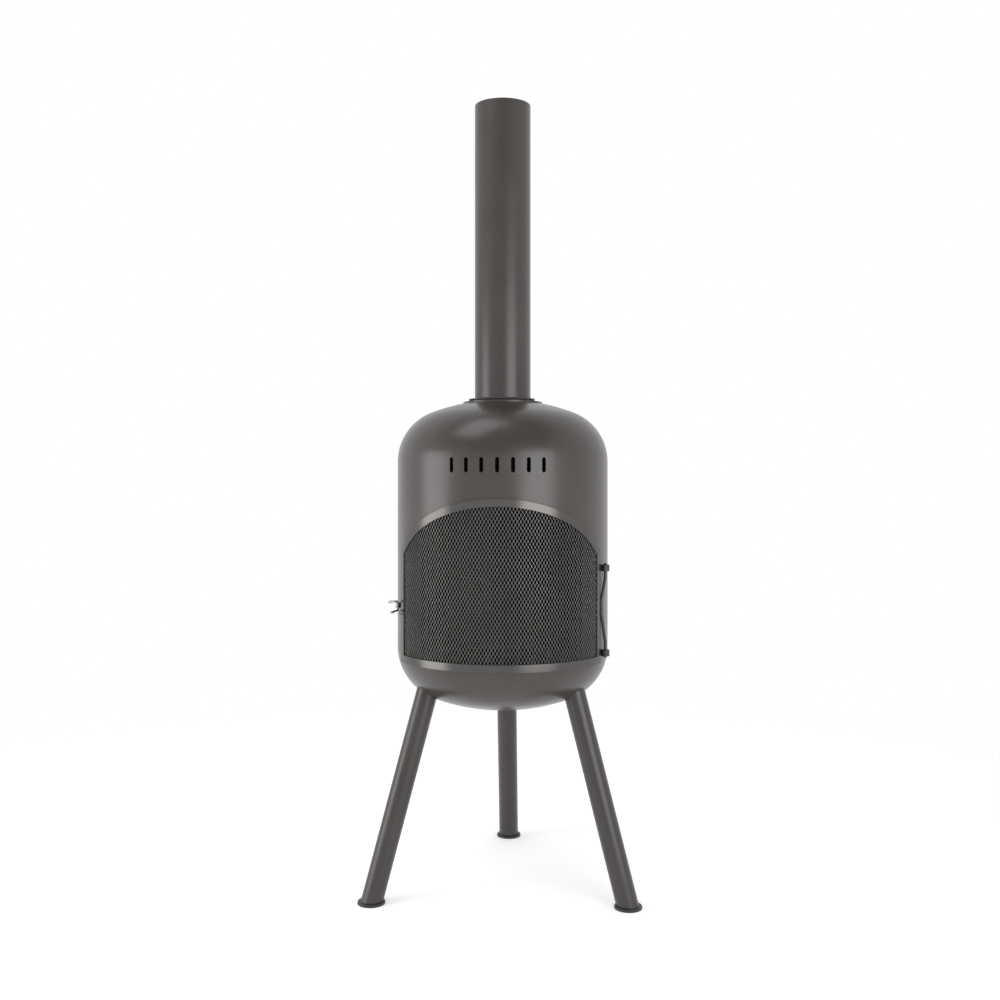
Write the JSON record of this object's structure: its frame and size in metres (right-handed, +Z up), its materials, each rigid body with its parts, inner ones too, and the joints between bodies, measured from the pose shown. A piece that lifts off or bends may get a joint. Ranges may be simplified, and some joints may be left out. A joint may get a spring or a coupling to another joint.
{
  "type": "chiminea",
  "caption": "Steel garden chiminea: round firebox on splayed tube legs, tall straight flue, and an arched expanded-metal door hung on a bowed rod with a turning latch.",
  "frame": {"origin": "on the ground, at the middle of the footprint of the whole object", "axes": "+Z up along the flue; the door faces -Y; +X is to the right as the door is faced, on the hinge side"},
  "size_m": [0.576, 0.5568, 1.663],
  "materials": {
    "shell_paint": "satin heat-resistant anthracite paint",
    "flue_paint": "satin heat-resistant anthracite paint",
    "leg_paint": "satin heat-resistant anthracite paint",
    "frame_paint": "satin heat-resistant anthracite paint",
    "mesh_paint": "satin anthracite paint on expanded metal",
    "hinge_paint": "semi-gloss black paint",
    "plated_steel": "bright zinc plate",
    "fastener_steel": "blackened steel",
    "foot_plastic": "matt black moulded plastic",
    "grate_steel": "heat-blackened bare steel"
  },
  "bodies": {
    "pot": {"firebox_shell": "shell_paint", "upper_dome": "shell_paint", "lower_dome": "shell_paint", "flue_flange": "flue_paint", "chimney_pipe": "flue_paint", "flange_bolts": "fastener_steel", "flange_nuts": "fastener_steel", "leg_left": "leg_paint", "leg_right": "leg_paint", "leg_rear": "leg_paint", "leg_end_plates": "fastener_steel", "leg_bolts": "fastener_steel", "leg_nuts": "fastener_steel", "foot_left": "foot_plastic", "foot_right": "foot_plastic", "foot_rear": "foot_plastic", "hinge_barrel_top": "hinge_paint", "hinge_barrel_bottom": "hinge_paint", "latch_barrel": "plated_steel", "grate_lugs": "grate_steel"},
    "door": {"door_frame": "frame_paint", "door_mesh": "mesh_paint", "hinge_rod": "hinge_paint", "latch_keeper": "plated_steel"},
    "latch": {"latch_lever": "plated_steel", "latch_thumb_tab": "plated_steel"},
    "grate": {"grate_ring": "grate_steel", "grate_bars": "grate_steel"}
  },
  "joints": [
    {"name": "door_swing", "type": "hinge", "parent": "pot", "child": "door", "pos_m": [0.21667, -0.13603, 0.59], "axis": [0, 0, 1], "range_deg": [0, 160]},
    {"name": "latch_turn", "type": "hinge", "parent": "pot", "child": "latch", "pos_m": [-0.2158, -0.12877, 0.598], "axis": [0, 0, 1], "range_deg": [-70, 19.8]},
    {"name": "grate_lift", "type": "slide", "parent": "pot", "child": "grate", "axis": [0, 0, 1], "range_m": [0, 0.06]}
  ]
}
